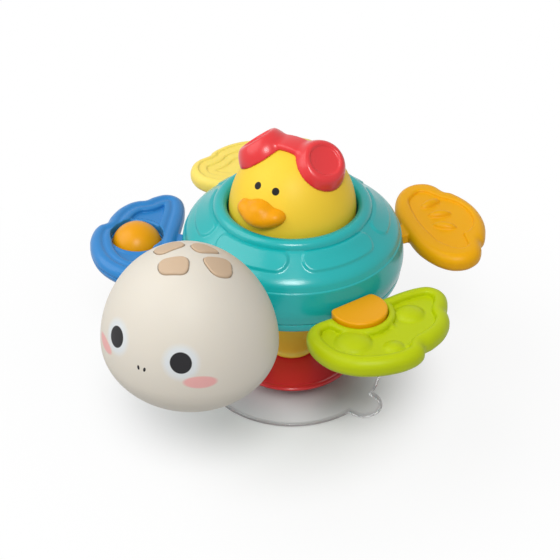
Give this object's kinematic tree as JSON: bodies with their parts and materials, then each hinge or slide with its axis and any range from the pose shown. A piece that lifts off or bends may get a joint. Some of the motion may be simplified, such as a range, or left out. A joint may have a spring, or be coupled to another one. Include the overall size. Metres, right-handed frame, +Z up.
{
  "type": "suction cup turtle toy",
  "caption": "Toddler table toy: a turtle turns on a stem above a clear suction cup, with a duck that turns in its shell, a head that tilts, a rolling ball and soft flippers.",
  "frame": {"origin": "middle of the suction cup's rim, on the plane it sticks to", "axes": "+Z up along the stem, -Y towards the turtle's head, +X towards the green flipper's side"},
  "size_m": [0.1767, 0.2048, 0.1313],
  "materials": {
    "clear_cup": "clear, glossy",
    "red": "glossy",
    "yellow": "satin gloss",
    "teal": "glossy",
    "cream": "satin",
    "tan": "satin",
    "blue": "satin gloss",
    "green": "soft satin",
    "orange": "satin gloss",
    "soft_orange": "soft satin",
    "soft_yellow": "soft satin",
    "amber": "satin gloss",
    "white": "satin",
    "steel": "plain"
  },
  "bodies": {
    "base": {"suction_cup": "clear_cup", "base_disc": "red", "stem": "yellow", "spindle_washer": "white", "spindle_screw": "steel"},
    "shell": {"shell_bottom": "teal", "shell_top": "teal", "shell_screw_1": "steel", "shell_screw_2": "steel", "shell_screw_3": "steel", "shell_screw_4": "steel", "neck_axle": "white", "neck_washer": "white", "neck_screw": "steel", "blue_flipper_top": "blue", "blue_flipper_bottom": "blue", "green_flipper": "green", "green_clip": "orange", "orange_flipper": "soft_orange", "yellow_flipper": "soft_yellow"},
    "duck": {"duck_body": "yellow", "duck_plate": "white", "duck_bill": "amber", "duck_goggles": "red"},
    "head": {"head_top": "cream", "head_bottom": "cream", "head_pad_front": "tan", "head_pad_right": "tan", "head_pad_back": "tan", "head_pad_left": "tan"},
    "ball": {"roller_ball": "amber"}
  },
  "joints": [
    {"name": "shell_spin", "type": "hinge", "parent": "base", "child": "shell", "pos_m": [0, 0, 0.0614], "axis": [0, 0, 1], "continuous": true},
    {"name": "duck_spin", "type": "hinge", "parent": "shell", "child": "duck", "pos_m": [0, 0, 0.0864], "axis": [0, 0, 1], "continuous": true},
    {"name": "head_tilt", "type": "hinge", "parent": "shell", "child": "head", "pos_m": [0, -0.055, 0.0734], "axis": [0, -1, 0], "range_deg": [-30, 30]},
    {"name": "ball_roll", "type": "hinge", "parent": "shell", "child": "ball", "pos_m": [-0.06766, -0.02918, 0.06808], "axis": [0.3584, -0.9336, 0], "continuous": true}
  ]
}
